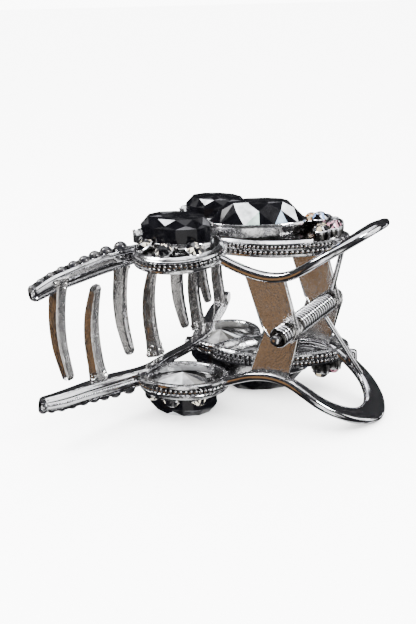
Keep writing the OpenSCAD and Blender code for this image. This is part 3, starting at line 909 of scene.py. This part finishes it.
# the clear stones' white and grey facets are painted reflections
CLEAR_TONES = [WHITE_GLINT, ASH, COAL, WHITE_GLINT, (0.16, 0.16, 0.16)]
for side, sign in JAWS:
    squares, boxes, play = Wax(), Wax(), random.Random(2)
    for x, y, turn in CORNERS:
        z = LIP + 3.4
        faceted(squares, (x, y), 1.55, 1.55, z + 0.6, 0.75, 1.5, turn + 45, 4, 0.62, CLEAR_TONES, FOIL_GLINTS, play)
        c = Matrix.Translation((x, y, z)) @ Matrix.Rotation(math.radians(turn), 4, "Z")
        s = len(boxes.points)
        # the box: painted shade at its foot and down its inside
        boxes.ring_stack([[(sx * h, sy * h, up) for sx, sy in SQUARE] for h, up in BOX_WALL],
                         recess=[0.7, 0.2, 0, 0, 0, 0.8])
        boxes.shift(s, c)
        for sx, sy in SQUARE:
            s = len(boxes.points)
            boxes.bead((sx * 1.2, sy * 1.2, 0.95), 0.34, sides=8, rows=6)
            boxes.shift(s, c)
    piece = squares.pour(side + "_square_glass", sign, flat=True)
    piece.data.materials.append(pale_glass)
    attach(piece, side + "_jaw")
    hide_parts(side + "_corner_stones")
    box = boxes.pour(side + "_square_settings", sign)
    box.data.materials.append(silver_bezel)
    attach(box, side + "_jaw")

# ---------------------------------------------------------------- the hinge pin and its ends
# Hard drawn wire: a straight pin through all four ears, headed at the far end and
# wound three times round at the near end to keep it in.

drawn = plating("drawn_wire", (0.72, 0.72, 0.74), (0.10, 0.095, 0.09), 0.11, 0.15, 0.1, ripple_size=700.0)


def turned(wax, stations, sides=24):
    """A round bar along Y from (radius, y) stations."""
    wax.ring_stack([[(r * math.cos(a), y, r * math.sin(a)) for a in around(sides)] for r, y in stations])


def wound(wax, radius, y0, pitch, turns, wire, per=26, sides=12):
    """A coil of round wire about the Y axis."""
    rings = []
    for k in range(int(turns * per) + 1):
        a = 2 * math.pi * k / per
        c = np.array((radius * math.sin(a), y0 + pitch * k / per, radius * math.cos(a)))
        t = np.array((radius * math.cos(a), pitch / (2 * math.pi), -radius * math.sin(a)))
        t /= np.linalg.norm(t)
        out = np.array((math.sin(a), 0, math.cos(a)))
        side_way = np.cross(t, out)
        rings.append([c + wire * (out * math.cos(b) + side_way * math.sin(b)) for b in around(sides)])
    start = len(wax.points)
    wax.ring_stack(rings)
    # painted shade between the turns and round the wire's inner side; only a strip along the outside keeps the
    # bright plate
    for i in range(start, len(wax.points)):
        wax.recess[i] = 0.0 if math.cos(around(sides)[(i - start) % sides]) > 0.6 else 1.0


pin = Wax()
turned(pin, [(0.55, -17.0), (0.78, -16.9), (0.85, -16.7), (0.85, 12.4), (0.7, 12.5)])
head = Wax()
turned(head, [(0.8, 12.5), (1.5, 12.52), (1.6, 12.65), (1.6, 12.95), (1.35, 13.18), (0.8, 13.3)])
end_coil = Wax()
wound(end_coil, 1.4, -15.4, 1.08, 3, 0.5)
for wax, name, node in ((pin, "pin_wire", "hinge_pin"), (head, "pin_rivet", "pin_head"),
                        (end_coil, "pin_winding", "pin_end_coil")):
    piece = wax.pour(name, crease=40)
    piece.data.materials.append(drawn)
    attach(piece, "lower_jaw")
    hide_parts(node)

# ---------------------------------------------------------------- the torsion spring
# Fifteen turns of plated spring wire round the pin. One leg runs down to a peg under
# the lower jaw, the other up behind the upper jaw's far rail.

coil = Wax()
wound(coil, 1.52, -7.3, 15.6 / 15, 15, 0.49)
spring_piece = coil.pour("spring_winding", crease=40)


def straight_wire(wax, a, b, r=0.5, sides=14):
    """A length of wire from a to b, with its ends eased."""
    a, b = np.array(a, float), np.array(b, float)
    line = [a, a + (b - a) * 0.02, a + (b - a) * 0.5, b - (b - a) * 0.02, b]
    section = [(math.cos(b), math.sin(b)) for b in around(sides)]
    radii = [r * 0.8, r, r, r, r * 0.8]
    wax.swept(line, (0.2, 1, 0.1), section, radii, radii)


low_leg, high_leg = Wax(), Wax()
straight_wire(low_leg, (1.6, 3.3, -1.2), (7.6, 7.4, -13.6))
straight_wire(high_leg, (1.5, 7.1, 3.0), (3.2, 8.3, 11.4))
low_piece = low_leg.pour("spring_low_wire", crease=40)
high_piece = high_leg.pour("spring_high_wire", crease=40)
for piece, node, body in ((spring_piece, "torsion_spring", "lower_jaw"),
                          (low_piece, "spring_lower_leg", "lower_jaw"),
                          (high_piece, "spring_upper_leg", "upper_jaw")):
    piece.data.materials.append(drawn)
    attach(piece, body)
    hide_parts(node)

# ---------------------------------------------------------------- the spring peg
# A short cast peg under the lower jaw that the spring's leg bears on, its corners
# rounded over by tumbling.

peg = Wax()
peg_low, peg_high = (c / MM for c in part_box("spring_peg"))
peg_mid = (peg_low + peg_high) / 2 - Vector((HINGE_X, 0, 0))
PEG_OUTLINE = ((-1, -0.6), (-0.6, -1), (0.6, -1), (1, -0.6), (1, 0.6), (0.6, 1), (-0.6, 1), (-1, 0.6))
PEG_ENDS = ((0.6, -1.7), (0.9, -1.55), (1.0, -1.2), (1.0, 1.2), (0.9, 1.55), (0.6, 1.7))
peg.ring_stack([[(peg_mid[0] + sx * 1.0 * h, peg_mid[1] + sy * 0.8 * h, peg_mid[2] + z) for sx, sy in PEG_OUTLINE]
                for h, z in PEG_ENDS])
peg_piece = peg.pour("spring_peg_casting", crease=50)
peg_piece.data.materials.append(plated)
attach(peg_piece, "lower_jaw")
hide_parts("spring_peg")
